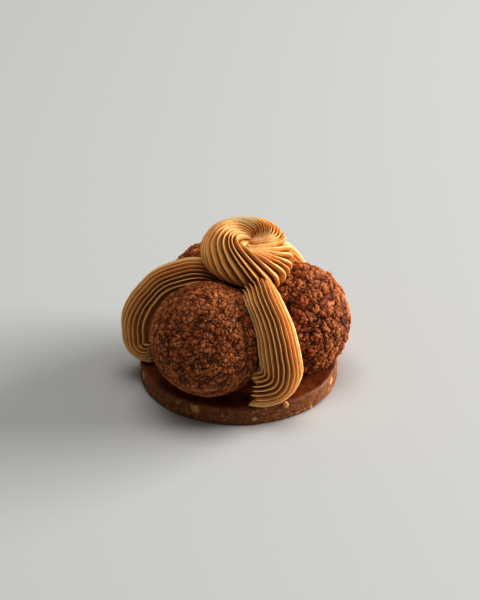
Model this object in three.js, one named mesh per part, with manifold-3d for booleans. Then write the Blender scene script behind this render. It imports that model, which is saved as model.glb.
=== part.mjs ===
// Saint honore pastry: three crackled choux buns on a caramelised puff disc, three ribbed cream ropes piped
// into the grooves between the buns, and a twisted cream rosette on top.
// Millimetres, +Z up. The origin is the centre of the disc's underside, and the pastry's front faces -Y.

import * as THREE from "three";
import { mergeVertices } from "three/addons/utils/BufferGeometryUtils.js";
import Module from "manifold-3d";

const wasm = await Module();
wasm.setup();

// Driving dimensions

const gap = 0.3; // left between pieces that touch
const facetAllowance = 1.01; // a faceted room is this much larger than the ball it has to hold
const turn = 2 * Math.PI;
const { clamp, degToRad: toRadians, smoothstep } = THREE.MathUtils;

const disc = {
  radius: 41.4,
  thickness: 8.5,
  edgeRound: 0.9,
  wander: 0.5, // how far the cut edge strays from a true circle
  flakes: 3, // layers that show at the side
  flakeDepth: 0.5,
  segments: 60,
};

// Each bun is a ball with a flat foot, pressed a little flat where it meets its neighbour.
const crag = { size: 5.0, depth: 1.7, rise: 0.7, detail: 8 };
const choux = [
  { name: "chou_left", radius: 23.6, centre: [-12.4, -24.2, 30.8], seed: 11 },
  { name: "chou_right", radius: 24.0, centre: [22.4, 0.9, 26.0], seed: 23 },
  { name: "chou_back", radius: 21.8, centre: [-9.4, 27.0, 24.2], seed: 37 },
];

// A rope runs from under the rosette over the buns' shoulders, down past its belly to a tail on the disc.
// Bearings are degrees from +X, belly and tailOut are distances from the axis, brow is extra height over
// the shoulder and bow is how far the rope strays aside there. A tail is swept sideways, clockwise seen
// from above, and lag is how strongly the section is held back where the sweep begins. Fill is how much
// deeper than round the inner side reaches into the groove.
const ropeRibs = { count: 24, depth: 2.3, steps: 14 };
const lagBegins = 0.45; // shares of the way along a rope
const lagFull = 0.7;
const lagFades = 0.75;
const core = new THREE.Vector3(0, 0, 20);
const frontWay = { bearing: -63.5, belly: 39.2, brow: 5, bow: 2.2, fill: 8 };
const leftWay = { bearing: 179, belly: 39.9, brow: 0.8, bow: 0, fill: 13 };
const backWay = { bearing: 57, belly: 39.5, brow: 0, bow: 0, fill: 9 };
const ropes = [
  { name: "rope_front", ...frontWay, tailOut: 34.6, tailSide: 12, lag: 0.6 },
  { name: "rope_left", ...leftWay, tailOut: 32, tailSide: -2, lag: 0 },
  { name: "rope_back", ...backWay, tailOut: 34, tailSide: 7, lag: 0.3 },
];
function ropeStations({ belly, brow, bow, fill, tailOut, tailSide }) {
  const sweepOut = 0.55 * belly + 0.45 * tailOut;
  return [
    { out: 8.5, height: 45.5, side: 0, thick: 5.0, fill: 0 },
    { out: 16.5, height: 48.0, side: 0, thick: 7.2, fill: 0.3 * fill },
    { out: belly - 11.5, height: 43.8 + brow, side: bow, thick: 7.6, fill: 0.8 * fill },
    { out: belly - 4.6, height: 36.8 + 1.2 * brow, side: 0.85 * bow, thick: 8.1, fill },
    { out: belly - 1.1, height: 30.6 + brow, side: 0.6 * bow, thick: 8.7, fill },
    { out: belly, height: 27.0, side: 0.2 * bow, thick: 9.1, fill: 0.9 * fill },
    { out: belly - 0.1, height: 21.6, side: 0.06 * tailSide, thick: 9.2, fill: 0.5 * fill },
    { out: belly - 0.5, height: 17.6, side: 0.24 * tailSide, thick: 9.0, fill: 0.3 * fill },
    { out: sweepOut, height: 15.4, side: 0.57 * tailSide, thick: 8.4, fill: 0.1 * fill },
    { out: tailOut, height: 15.2, side: tailSide, thick: 7.2, fill: 0 },
  ];
}

const rosette = {
  name: "rosette",
  centre: [2.4, -1.2, 59.2],
  radius: 18.4, // over the ridges
  tube: 9.4, // radius of the piped ring
  eyeDepth: 5.0, // how far the eye lies below the crest
  eyeShift: [2.6, 3.4],
  leanRight: 6, // degrees that the right side sits low
  leanFront: 4,
  droopBearing: -20, // the side that sinks onto the right bun
  droop: 4.2,
  flatten: 0.25, // share of the crest's height lost on that side
  spread: 1.2, // and how far that side is drawn out
  lobeBearing: 38, // where the rim reaches out in lobes
  lobeReach: 3.4,
  ridges: 26,
  ridgeDepth: 3.0,
  slant: 58, // degrees a ridge turns on its way from the rim to the eye
  twist: 1.2, // how much of that again it turns close to the eye
  rings: 14,
};

const colours = {
  crust: { color: 0x6b3a22, roughness: 0.75, metalness: 0 },
  cream: { color: 0xc08a4e, roughness: 0.5, metalness: 0 },
  puff: { color: 0x6a3c1c, roughness: 0.4, metalness: 0 },
};

// Solids and cuts

function solidFrom(geometry) {
  const bare = geometry.clone();
  bare.deleteAttribute("normal");
  bare.deleteAttribute("uv");
  const merged = mergeVertices(bare, 1e-4);
  const vertProperties = new Float32Array(merged.getAttribute("position").array);
  const triVerts = new Uint32Array(merged.index.array);
  return new wasm.Manifold(new wasm.Mesh({ numProp: 3, vertProperties, triVerts }));
}

function largestBody(solid) {
  return solid.decompose().reduce((best, body) => (body.volume() > best.volume() ? body : best));
}

function meshFrom(solid, name, look) {
  const { vertProperties, triVerts } = largestBody(solid).getMesh();
  const geometry = new THREE.BufferGeometry();
  geometry.setAttribute("position", new THREE.BufferAttribute(vertProperties, 3));
  geometry.setIndex(new THREE.BufferAttribute(triVerts, 1));
  geometry.computeVertexNormals();
  const mesh = new THREE.Mesh(geometry, new THREE.MeshStandardMaterial(look));
  mesh.name = name;
  return mesh;
}

// A block that fills everything beyond a plane through a point, on the side its normal points to.
function blockBeyond(point, normal) {
  const size = 200;
  const block = new THREE.BoxGeometry(size, size, size).translate(0, 0, size / 2);
  block.applyQuaternion(new THREE.Quaternion().setFromUnitVectors(new THREE.Vector3(0, 0, 1), normal));
  return solidFrom(block.translate(point.x, point.y, point.z));
}

function movePoints(geometry, place) {
  const position = geometry.getAttribute("position");
  const point = new THREE.Vector3();
  for (let i = 0; i < position.count; i++) {
    point.fromBufferAttribute(position, i);
    place(point);
    position.setXYZ(i, point.x, point.y, point.z);
  }
  return geometry;
}

// Seeded unevenness

// A number from 0 to 1 that is always the same for the same cell and seed.
function cellRandom(x, y, z, seed) {
  let h = Math.imul(x, 374761393) ^ Math.imul(y, 668265263);
  h ^= Math.imul(z, 1274126177) ^ Math.imul(seed, 974634541);
  h = Math.imul(h ^ (h >>> 13), 1103515245);
  h = Math.imul(h ^ (h >>> 16), 2246822519);
  return ((h ^ (h >>> 15)) >>> 0) / 2 ** 32;
}

// How far a point is from the nearest crumb centre, in crumb sizes, with that crumb's own random number.
function nearestCrumb(point, size, seed) {
  const home = [point.x, point.y, point.z].map((v) => Math.floor(v / size));
  let best = { distance: Infinity, random: 0 };
  for (let n = 0; n < 27; n++) {
    const step = [n % 3, Math.floor(n / 3) % 3, Math.floor(n / 9)];
    const cell = home.map((c, axis) => c + step[axis] - 1);
    const centre = cell.map((c, axis) => (c + cellRandom(...cell, seed + axis)) * size);
    const distance = Math.hypot(point.x - centre[0], point.y - centre[1], point.z - centre[2]) / size;
    if (distance < best.distance) best = { distance, random: cellRandom(...cell, seed + 3) };
  }
  return best;
}

// A slow wave round a circle, from -1 to 1, made of a few seeded harmonics.
function wander(angle, seed) {
  const harmonics = [2, 3, 5, 8];
  const waves = harmonics.map((n) => Math.sin(n * angle + turn * cellRandom(n, 0, 0, seed)));
  return waves.reduce((sum, wave) => sum + wave, 0) / harmonics.length;
}

// Puff disc: a lathe turned section whose side is stepped into flakes and whose edge strays from a circle

function makeDisc() {
  const { radius, thickness, edgeRound, flakes, flakeDepth } = disc;
  const section = [new THREE.Vector2(0, 0), new THREE.Vector2(radius - edgeRound, 0)];
  const flakeHeight = (thickness - edgeRound) / flakes;
  for (let n = 0; n < flakes; n++) {
    section.push(new THREE.Vector2(radius - flakeDepth, flakeHeight * (n + 0.15)));
    section.push(new THREE.Vector2(radius, flakeHeight * (n + 0.55)));
  }
  section.push(new THREE.Vector2(radius - flakeDepth, thickness - edgeRound));
  section.push(new THREE.Vector2(radius - flakeDepth - edgeRound, thickness));
  section.push(new THREE.Vector2(0, thickness));
  const lathe = new THREE.LatheGeometry(section, disc.segments).rotateX(Math.PI / 2);
  return movePoints(lathe, (point) => {
    const out = Math.hypot(point.x, point.y);
    if (out < radius / 2) return;
    const angle = Math.atan2(point.y, point.x);
    const layer = Math.round(point.z / flakeHeight);
    const stray = disc.wander * (0.7 * wander(angle, 5) + 0.3 * wander(angle, 50 + layer));
    point.multiply(new THREE.Vector3(1 + stray / out, 1 + stray / out, 1));
  });
}

// Choux: balls with crumbs and clefts carved into the crust, and flats where they rest or press together

function makeChou({ radius, centre, seed }) {
  const ball = movePoints(new THREE.IcosahedronGeometry(radius, crag.detail), (point) => {
    const crumb = nearestCrumb(point, crag.size, seed);
    const carved = crag.depth * Math.min(1, 0.75 * crumb.distance + 0.4 * crumb.random);
    point.setLength(radius + crag.rise - carved);
  });
  return solidFrom(ball.translate(...centre));
}

// The room a bun takes up, as a smooth ball with the gap round it.
function chouRoom({ radius, centre }) {
  const room = new THREE.IcosahedronGeometry((radius + crag.rise / 2 + gap) * facetAllowance, 5);
  return solidFrom(room.translate(...centre));
}

function pressedChou(chou) {
  const centre = new THREE.Vector3(...chou.centre);
  const foot = new THREE.Vector3(0, 0, disc.thickness + gap);
  let solid = makeChou(chou).subtract(blockBeyond(foot, new THREE.Vector3(0, 0, -1)));
  for (const other of choux) {
    const towards = new THREE.Vector3(...other.centre).sub(centre);
    const apart = towards.length();
    if (other === chou || apart > chou.radius + other.radius + 2 * crag.rise + gap) continue;
    towards.normalize();
    const reach = (apart ** 2 + chou.radius ** 2 - other.radius ** 2) / (2 * apart) - gap / 2;
    solid = solid.subtract(blockBeyond(centre.clone().addScaledVector(towards, reach), towards));
  }
  return solid;
}

// Cream ropes: ribbed rods bent along a smooth path over a groove, thinner under the rosette than below

function ropePath(outward, aside, stations) {
  const places = stations.map(({ out, side, height }) =>
    new THREE.Vector3(0, 0, height).addScaledVector(outward, out).addScaledVector(aside, side),
  );
  return new THREE.CatmullRomCurve3(places);
}

function makeRope(rope) {
  const { count, depth, steps } = ropeRibs;
  const ahead = toRadians(rope.bearing);
  const away = new THREE.Vector3(Math.cos(ahead), Math.sin(ahead), 0);
  const aside = new THREE.Vector3(Math.sin(ahead), -Math.cos(ahead), 0);
  const heldBack = aside.clone().multiplyScalar(Math.sign(rope.tailSide)).setZ(-1);
  const stations = ropeStations(rope);
  const path = ropePath(away, aside, stations);
  const sizes = new THREE.SplineCurve(stations.map(({ thick, fill }) => new THREE.Vector2(thick, fill)));
  const rod = new THREE.CylinderGeometry(1, 1, 1, 2 * count, steps);
  movePoints(rod, (point) => {
    const along = point.y + 0.5;
    const angle = Math.atan2(point.z, point.x);
    const share = Math.hypot(point.x, point.z); // 0 at the middle of an end cap
    const carved = Math.cos(angle * count) > 0 ? 0 : depth;
    const roundedEnd = Math.sqrt(1 - Math.abs(2 * along - 1) ** 12);
    const { x: thick, y: fill } = sizes.getPoint(path.getUtoTmapping(along));
    const radius = share * Math.max(0.4, (thick - carved) * roundedEnd);
    const inner = Math.sin(angle) < 0 ? 1 + fill / thick : 1;
    const tangent = path.getTangentAt(along);
    const caughtUp = smoothstep(along, lagFades, 1);
    const lag = rope.lag * smoothstep(along, lagBegins, lagFull) * (1 - caughtUp);
    const forward = tangent.clone().addScaledVector(heldBack, lag).normalize();
    const widen = 1 / Math.max(tangent.dot(forward), 0.65); // keeps the rope as wide where its section lags
    point.copy(path.getPointAt(along));
    const outward = point.clone().sub(core).projectOnPlane(forward).normalize();
    const side = new THREE.Vector3().crossVectors(forward, outward);
    point.addScaledVector(side, widen * radius * Math.cos(angle));
    point.addScaledVector(outward, inner * radius * Math.sin(angle));
  });
  return solidFrom(rod);
}

// Rosette: a plump ring closed at its eye, whose ridges swirl outwards from the eye and under the rim

// The section of the ring from the axis underneath, over the rim and the crest, to the eye on the axis.
const eyeSwing = 0.86 * Math.PI; // where on the ring's round section the eye begins
const sectionSwing = 1.36 * Math.PI; // how far round the section goes from there
const rimShare = eyeSwing / sectionSwing; // how far along the section the rim is
function rosetteSection(grow) {
  const { radius, tube, eyeDepth, rings } = rosette;
  const section = [new THREE.Vector2(0, -tube - grow)];
  for (let n = rings - 1; n > 0; n--) {
    const swing = eyeSwing - sectionSwing * (n / (rings - 1));
    const out = radius - tube + (tube + grow) * Math.cos(swing);
    section.push(new THREE.Vector2(Math.max(out, 0.6), (tube + grow) * Math.sin(swing)));
  }
  section.push(new THREE.Vector2(0, tube - eyeDepth + grow));
  return section;
}

// Moves a point of the even ring to where it lies on the real, sunken and leaning one.
function settle(point) {
  const { radius, eyeShift, droopBearing, droop, flatten, spread, lobeBearing, lobeReach } = rosette;
  const outShare = Math.hypot(point.x, point.y) / radius;
  const inside = Math.max(0, 1 - outShare);
  const low = toRadians(droopBearing);
  const reach = point.x * Math.cos(low) + point.y * Math.sin(low);
  const sunk = clamp(reach / radius, 0, 1) ** 1.5;
  const lobeAt = toRadians(lobeBearing);
  const facing = Math.max(0, Math.cos(Math.atan2(point.y, point.x) - lobeAt));
  const lobe = lobeReach * facing ** 4 * outShare ** 2;
  point.x += eyeShift[0] * inside + spread * sunk * Math.cos(low) + lobe * Math.cos(lobeAt);
  point.y += eyeShift[1] * inside + spread * sunk * Math.sin(low) + lobe * Math.sin(lobeAt);
  point.z = point.z * (point.z > 0 ? 1 - flatten * sunk : 1) - droop * sunk;
}

// The rosette grown outwards by some distance, with its surface carved between the ridges.
function rosetteSolid(grow, carve) {
  const { ridges, slant, twist, radius, tube, leanRight, leanFront, centre } = rosette;
  const columns = 2 * ridges;
  const lathe = new THREE.LatheGeometry(rosetteSection(grow), columns).rotateX(Math.PI / 2);
  movePoints(lathe, (point) => {
    const out = Math.hypot(point.x, point.y);
    const angle = Math.atan2(point.y, point.x);
    const swing = Math.atan2(point.z, out - (radius - tube));
    const unrolled = (eyeSwing - swing) / sectionSwing; // 0 at the eye, 1 underneath
    const column = Math.round((angle / turn) * columns);
    const carved = column % 2 === 0 ? 0 : carve * Math.min(1, out / (0.7 * radius));
    const inwards = 1 - unrolled / rimShare; // 0 at the rim, 1 at the eye
    const turned = angle - toRadians(slant) * (inwards + twist * Math.max(0, inwards) ** 2);
    const carvedOut = Math.max(0, out - carved * Math.cos(swing));
    point.z -= carved * Math.sin(swing);
    point.x = carvedOut * Math.cos(turned);
    point.y = carvedOut * Math.sin(turned);
    settle(point);
  });
  lathe.rotateY(toRadians(leanRight)).rotateX(toRadians(leanFront));
  return solidFrom(lathe.translate(...centre));
}

// Assembly

const pastry = new THREE.Group();
pastry.name = "saint_honore";
pastry.add(meshFrom(solidFrom(makeDisc()), "puff_disc", colours.puff));

for (const chou of choux) pastry.add(meshFrom(pressedChou(chou), chou.name, colours.crust));

const bunRoom = choux.map(chouRoom).reduce((all, room) => all.add(room));
const belowDisc = blockBeyond(new THREE.Vector3(0, 0, disc.thickness + gap), new THREE.Vector3(0, 0, -1));
const ropeCutter = bunRoom.add(belowDisc).add(rosetteSolid(gap, 0));
for (const rope of ropes) {
  pastry.add(meshFrom(makeRope(rope).subtract(ropeCutter), rope.name, colours.cream));
}

const rosetteOnBuns = rosetteSolid(0, rosette.ridgeDepth).subtract(bunRoom);
pastry.add(meshFrom(rosetteOnBuns, rosette.name, colours.cream));

export default pastry;
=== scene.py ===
import math
from functools import partial

import bpy
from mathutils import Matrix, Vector


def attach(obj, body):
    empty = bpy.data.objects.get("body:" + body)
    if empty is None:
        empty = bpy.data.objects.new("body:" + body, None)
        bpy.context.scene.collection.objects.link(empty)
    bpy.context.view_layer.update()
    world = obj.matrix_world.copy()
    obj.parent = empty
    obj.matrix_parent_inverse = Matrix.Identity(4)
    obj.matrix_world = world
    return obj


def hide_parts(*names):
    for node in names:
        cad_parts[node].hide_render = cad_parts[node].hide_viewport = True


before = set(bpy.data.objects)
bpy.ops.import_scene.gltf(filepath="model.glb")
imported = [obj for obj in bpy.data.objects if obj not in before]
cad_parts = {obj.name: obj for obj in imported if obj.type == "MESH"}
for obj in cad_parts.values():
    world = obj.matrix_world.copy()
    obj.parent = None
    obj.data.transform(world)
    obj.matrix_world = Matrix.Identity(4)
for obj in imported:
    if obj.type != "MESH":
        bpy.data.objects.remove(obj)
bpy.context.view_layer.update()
mm = 0.001  # shapes are worked out in millimetres, and the last nodes of each tree scale them to metres
turn = 2 * math.pi
seamGap = 0.002  # mm, points closer than this become one
outOfReach = 1000.0  # mm, further than any piece
noiseLow, noiseHigh = 0.3, 0.7  # most of a noise texture lies between these
noiseMiddle = (0.5, 0.5, 0.5)
print("frame loaded:", len(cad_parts), "solids")


# sRGB hex to the linear colour that sockets take
def linear(hexText):
    parts = [int(hexText[n:n + 2], 16) / 255 for n in (1, 3, 5)]
    return tuple(c / 12.92 if c <= 0.04045 else ((c + 0.055) / 1.055) ** 2.4 for c in parts) + (1.0,)


# adds one node: kind may end in its operation, and inputs are values or what feeds them, by order or name
def addNode(tree, kind, inputs=(), **settings):
    kind, _, operation = kind.partition(" ")
    node = tree.nodes.new(kind)
    if operation:
        node.operation = operation
    for name, value in settings.items():
        setattr(node, name, value)
    shown = [socket for socket in node.inputs if socket.enabled]
    for key, value in inputs.items() if isinstance(inputs, dict) else enumerate(inputs):
        socket = shown[key] if isinstance(key, int) else next(s for s in shown if s.name == key)
        if isinstance(value, bpy.types.Node):
            value = next(s for s in value.outputs if s.enabled)
        if isinstance(value, bpy.types.NodeSocket):
            tree.links.new(value, socket)
        else:
            socket.default_value = value
    return node


# a shape tree with a named input for each size, and its input sockets by name
def newTree(name, sizes):
    kinds = {int: "NodeSocketInt", float: "NodeSocketFloat", tuple: "NodeSocketVector"}
    tree = bpy.data.node_groups.new(name, "GeometryNodeTree")
    tree.interface.new_socket("Base", in_out="INPUT", socket_type="NodeSocketGeometry")
    tree.interface.new_socket("Finish", in_out="INPUT", socket_type="NodeSocketMaterial")
    for key, value in sizes.items():
        tree.interface.new_socket(key, in_out="INPUT", socket_type=kinds[type(value)])
    tree.interface.new_socket("Shape", in_out="OUTPUT", socket_type="NodeSocketGeometry")
    return tree, {socket.name: socket for socket in tree.nodes.new("NodeGroupInput").outputs}


# the last nodes of every tree: closed seams, metres, smooth shading, realized, with its finish
def endTree(tree, given, shape):
    add = partial(addNode, tree)
    closed = add("GeometryNodeMergeByDistance", {"Geometry": shape, "Distance": seamGap})
    metres = add("GeometryNodeTransform", {"Geometry": closed, "Scale": (mm, mm, mm)})
    smooth = add("GeometryNodeSetShadeSmooth", {"Geometry": metres})
    whole = add("GeometryNodeRealizeInstances", {"Geometry": smooth})
    done = add("GeometryNodeSetMaterial", {"Geometry": whole, "Material": given["Finish"]})
    add("NodeGroupOutput", [done])


# runs a tree on a base mesh and keeps the result as a plain mesh that stands for a solid of the frame
def bakePiece(name, node, tree, sizes, finish, base):
    holder = bpy.data.objects.new(name + "_base", base)
    bpy.context.scene.collection.objects.link(holder)
    shaper = holder.modifiers.new("shape", "NODES")
    shaper.node_group = tree
    sockets = {item.name: item.identifier for item in tree.interface.items_tree}
    for key, value in sizes.items():
        shaper[sockets[key]] = value
    shaper[sockets["Finish"]] = finish
    mesh = bpy.data.meshes.new_from_object(holder.evaluated_get(bpy.context.evaluated_depsgraph_get()))
    mesh.name = name
    bpy.data.objects.remove(holder)
    piece = bpy.data.objects.new(name, mesh)
    bpy.context.scene.collection.objects.link(piece)
    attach(piece, "root")
    if node:
        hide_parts(node)
    print(name, len(mesh.polygons), "faces")


# a chain of points with named values on each, which a tree reads as a path or a section
def chainMesh(name, points, **values):
    mesh = bpy.data.meshes.new(name)
    mesh.from_pydata(points, [(n, n + 1) for n in range(len(points) - 1)], [])
    for key, numbers in values.items():
        mesh.attributes.new(key, "FLOAT", "POINT").data.foreach_set("value", numbers)
    return mesh


# a grid of columns round a piece and rows along it, with each point's share of the way in both
def addSweepGrid(add, given):
    counts = {"Vertices X": given["Columns"], "Vertices Y": given["Rows"]}
    grid = add("GeometryNodeMeshGrid", {"Size X": 1.0, "Size Y": 1.0, **counts})
    spot = add("ShaderNodeSeparateXYZ", [add("GeometryNodeInputPosition")])
    around = add("ShaderNodeMath ADD", [spot.outputs["X"], 0.5])  # the grid runs from -0.5 to 0.5
    along = add("ShaderNodeMath ADD", [spot.outputs["Y"], 0.5])
    return grid, around, along


# the values of the base chain's point that each row of the grid takes
def addSectionReader(add, given, along):
    lastRow = add("ShaderNodeMath SUBTRACT", [given["Rows"], 1.0])
    row = add("ShaderNodeMath ROUND", [add("ShaderNodeMath MULTIPLY", [along, lastRow])])

    def read(value, kind):
        wanted = {"Geometry": given["Base"], "Value": value, "Index": row}
        return add("GeometryNodeSampleIndex", wanted, data_type=kind)

    def readNamed(key):
        return read(add("GeometryNodeInputNamedAttribute", [key], data_type="FLOAT"), "FLOAT")

    place = add("ShaderNodeSeparateXYZ", [read(add("GeometryNodeInputPosition"), "FLOAT_VECTOR")])
    return place, readNamed


# the flat direction at an angle
def addWay(add, angle):
    cosine = add("ShaderNodeMath COSINE", [angle])
    sine = add("ShaderNodeMath SINE", [angle])
    return add("ShaderNodeCombineXYZ", [cosine, sine, 0.0])


# 1 where an angle is at a bearing in degrees, 0 a quarter turn off and -1 on the other side
def addFacing(add, angle, bearing):
    off = add("ShaderNodeMath SUBTRACT", [angle, add("ShaderNodeMath RADIANS", [bearing])])
    return add("ShaderNodeMath COSINE", [off])


# moves a point by an uneven drift of some size, in every direction
def addDrift(add, point, size, most):
    noise = add("ShaderNodeTexNoise", {"Vector": point, "Scale": 1 / size, "Detail": 2.0})
    drift = add("ShaderNodeVectorMath SUBTRACT", [noise.outputs["Color"], noiseMiddle])
    return add("ShaderNodeVectorMath MULTIPLY_ADD", [drift, (2 * most, 2 * most, 2 * most), point])


# Finishes

def newFinish(name):
    material = bpy.data.materials.new(name)
    material.use_nodes = True
    material.node_tree.nodes.clear()
    return material, partial(addNode, material.node_tree)


# baked cocoa craquelin: a sugary crumb crust, dull brown with small moist glints, with painted shade in its
# clefts
def craquelinCrust():
    grit, gritDepth, patch = 0.5, 0.15, 6.0  # mm, sugar grains and patches baked darker or lighter
    patchTone, grainTone = 0.6, 0.35  # how much lighter a patch and a single grain may be
    cleftCrag, crumbCrag = 0.1, 0.75  # from the painted shade deep in the clefts to the full tone of a crumb
    moist, dry = 0.45, 0.9  # roughness
    darkCrumb, lightCrumb, paintedCleftShade = linear("#7c300d"), linear("#da8950"), linear("#280a03")
    material, add = newFinish("baked_cocoa_craquelin")
    place = add("ShaderNodeTexCoord").outputs["Object"]
    crag = add("ShaderNodeAttribute", attribute_name="crag").outputs["Fac"]
    luck = add("ShaderNodeAttribute", attribute_name="luck").outputs["Fac"]
    patches = add("ShaderNodeTexNoise", {"Vector": place, "Scale": 1 / (patch * mm), "Detail": 4.0})
    grain = add("ShaderNodeTexNoise", {"Vector": place, "Scale": 1 / (grit * mm), "Detail": 2.0})
    tone = add("ShaderNodeMapRange", [patches, noiseLow, noiseHigh, 0.0, patchTone])
    tone = add("ShaderNodeMath MULTIPLY_ADD", [luck, grainTone, tone], use_clamp=True)
    crumb = add("ShaderNodeMix", [tone, darkCrumb, lightCrumb], data_type="RGBA")
    # painted shade: where the crag value is low, in cracks and clefts, the colour turns near-black
    proud = add("ShaderNodeMapRange", [crag, cleftCrag, crumbCrag, 0.0, 1.0])
    colour = add("ShaderNodeMix", [proud, paintedCleftShade, crumb], data_type="RGBA")
    gloss = add("ShaderNodeMapRange", [grain, noiseLow, noiseHigh, moist, dry])
    relief = add("ShaderNodeBump", {"Strength": 0.5, "Distance": gritDepth * mm, "Height": grain})
    body = add("ShaderNodeBsdfPrincipled", {
        "Base Color": colour, "Roughness": gloss, "Normal": relief, "IOR": 1.45, "Specular IOR Level": 0.14,
    })
    add("ShaderNodeOutputMaterial", [body])
    return material


# whipped caramel cream: soft, fatty and satin, with a painted highlight on the crests the nozzle drew,
# painted shade in its valleys and slits, and fine air pits
def whippedCream():
    airPit, pitDepth = 0.5, 0.06  # mm, coarser than real pits, so that they show
    streak, glow = 4.0, 1.5  # mm, glow is how far light seeps
    lowFace, highFace = linear("#d29248"), linear("#dc9e54")
    # the crest value is 1 on a ridge, 0 in a valley and lower in a slit: each tone fades in as it changes,
    # as painted shade in the valleys, a painted highlight on the crests and deeper painted shade in the
    # slits
    paintedLightTones = ((0.6, 0.0, "#824807"), (0.7, 1.0, "#f6c78a"), (0.1, -0.7, "#2e1002"))
    material, add = newFinish("whipped_caramel_cream")
    place = add("ShaderNodeTexCoord").outputs["Object"]
    crest = add("ShaderNodeAttribute", attribute_name="crest").outputs["Fac"]
    pits = add("ShaderNodeTexNoise", {"Vector": place, "Scale": 1 / (airPit * mm), "Detail": 2.0})
    streaks = add("ShaderNodeTexNoise", {"Vector": place, "Scale": 1 / (streak * mm), "Detail": 3.0})
    streaks = add("ShaderNodeMapRange", [streaks, noiseLow, noiseHigh, 0.0, 1.0])
    colour = add("ShaderNodeMix", [streaks, lowFace, highFace], data_type="RGBA")
    for start, full, tone in paintedLightTones:
        amount = add("ShaderNodeMapRange", [crest, start, full, 0.0, 1.0])
        colour = add("ShaderNodeMix", [amount, colour, linear(tone)], data_type="RGBA")
    relief = add("ShaderNodeBump", {"Strength": 0.3, "Distance": pitDepth * mm, "Height": pits})
    body = add("ShaderNodeBsdfPrincipled", {
        "Base Color": colour, "Roughness": 0.5, "Normal": relief, "IOR": 1.45, "Specular IOR Level": 0.28,
        "Subsurface Weight": 0.25, "Subsurface Radius": (0.8, 0.55, 0.3), "Subsurface Scale": glow * mm,
    })
    add("ShaderNodeOutputMaterial", [body])
    return material


# caramelised puff pastry: burnt sugar glazed on top, dry brown layers and pale flakes at the cut side
def puffPastry():
    layer, layerDepth, patch, flake = 0.8, 0.2, 5.0, 2.0  # mm
    darkLayer, lightLayer, paleInside = linear("#5e2f10"), linear("#8f5626"), linear("#c89a60")
    darkSugar, lightSugar = linear("#4a1d08"), linear("#7c3c14")
    dry, glazed = 0.75, 0.42  # roughness
    layerLow, layerHigh = 0.32, 0.68  # values of the noise for the darkest and lightest layers
    raggedness = 1.6  # of the spots' edges, as a share of their size
    paleEdge, crumbEdge, mostPale = 0.6, 0.9, 0.85
    # spots where a flake broke off show the pale inside: place and size of each, in mm
    broken = (
        (-17.9, -37.3, 5.4, 2.6),
        (38.6, -14.6, 5.6, 2.4),
        (-39.8, -11.4, 6.0, 2.2),
        (6.5, -40.8, 3.0, 1.2),
    )
    material, add = newFinish("caramelised_puff_pastry")
    place = add("ShaderNodeTexCoord").outputs["Object"]
    glaze = add("ShaderNodeAttribute", attribute_name="glaze").outputs["Fac"]
    squeezed = add("ShaderNodeMapping", {"Vector": place, "Scale": (1.0, 1.0, 2.0)})  # wider than thick
    layers = add("ShaderNodeTexNoise", {"Vector": squeezed, "Scale": 1 / (2 * layer * mm), "Detail": 4.0})
    patches = add("ShaderNodeTexNoise", {"Vector": place, "Scale": 1 / (patch * mm), "Detail": 4.0})
    fine = {"Scale": 1 / (flake * mm), "Detail": 3.0, "Roughness": 0.65}
    flakes = add("ShaderNodeTexNoise", {"Vector": place, **fine})
    shade = add("ShaderNodeMapRange", [layers, layerLow, layerHigh, 0.0, 1.0])
    crumb = add("ShaderNodeMix", [shade, darkLayer, lightLayer], data_type="RGBA")
    far = 1.0  # how far the nearest spot is, in its own size, and 1 at most
    for *centre, size in broken:
        off = add("ShaderNodeVectorMath DISTANCE", [place, [v * mm for v in centre]]).outputs["Value"]
        far = add("ShaderNodeMath MINIMUM", [far, add("ShaderNodeMath DIVIDE", [off, size * mm])])
    # the same noise that tears their edges leaves small flecks elsewhere
    ragged = add("ShaderNodeMath MULTIPLY_ADD", [flakes, raggedness, -raggedness / 2])
    far = add("ShaderNodeMath ADD", [far, ragged])
    pale = add("ShaderNodeMapRange", [far, paleEdge, crumbEdge, mostPale, 0.0])
    crumb = add("ShaderNodeMix", [pale, crumb, paleInside], data_type="RGBA")
    burnt = add("ShaderNodeMapRange", [patches, noiseLow, noiseHigh, 0.0, 1.0])
    sugar = add("ShaderNodeMix", [burnt, darkSugar, lightSugar], data_type="RGBA")
    colour = add("ShaderNodeMix", [glaze, crumb, sugar], data_type="RGBA")
    gloss = add("ShaderNodeMapRange", [glaze, 0.0, 1.0, dry, glazed])
    relief = add("ShaderNodeBump", {"Strength": 0.5, "Distance": layerDepth * mm, "Height": layers})
    body = add("ShaderNodeBsdfPrincipled", {
        "Base Color": colour, "Roughness": gloss, "Normal": relief, "IOR": 1.48, "Specular IOR Level": 0.3,
    })
    add("ShaderNodeOutputMaterial", [body])
    return material


crustFinish = craquelinCrust()
creamFinish = whippedCream()
puffFinish = puffPastry()
print("finishes made")

# Puff disc: a turned section with a layered, ragged side and a glazed top that is not quite flat

disc = {
    "Radius": 41.4, "Thickness": 8.5, "Wander": 0.6, "Layer depth": 0.5, "Top dents": 0.3,
    "Columns": 601, "Rows": 76,
}
gap = 0.3  # mm between pieces that rest on each other
onDisc = (-outOfReach, -outOfReach, disc["Thickness"] + gap)  # no point of a piece on the disc is lower


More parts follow.
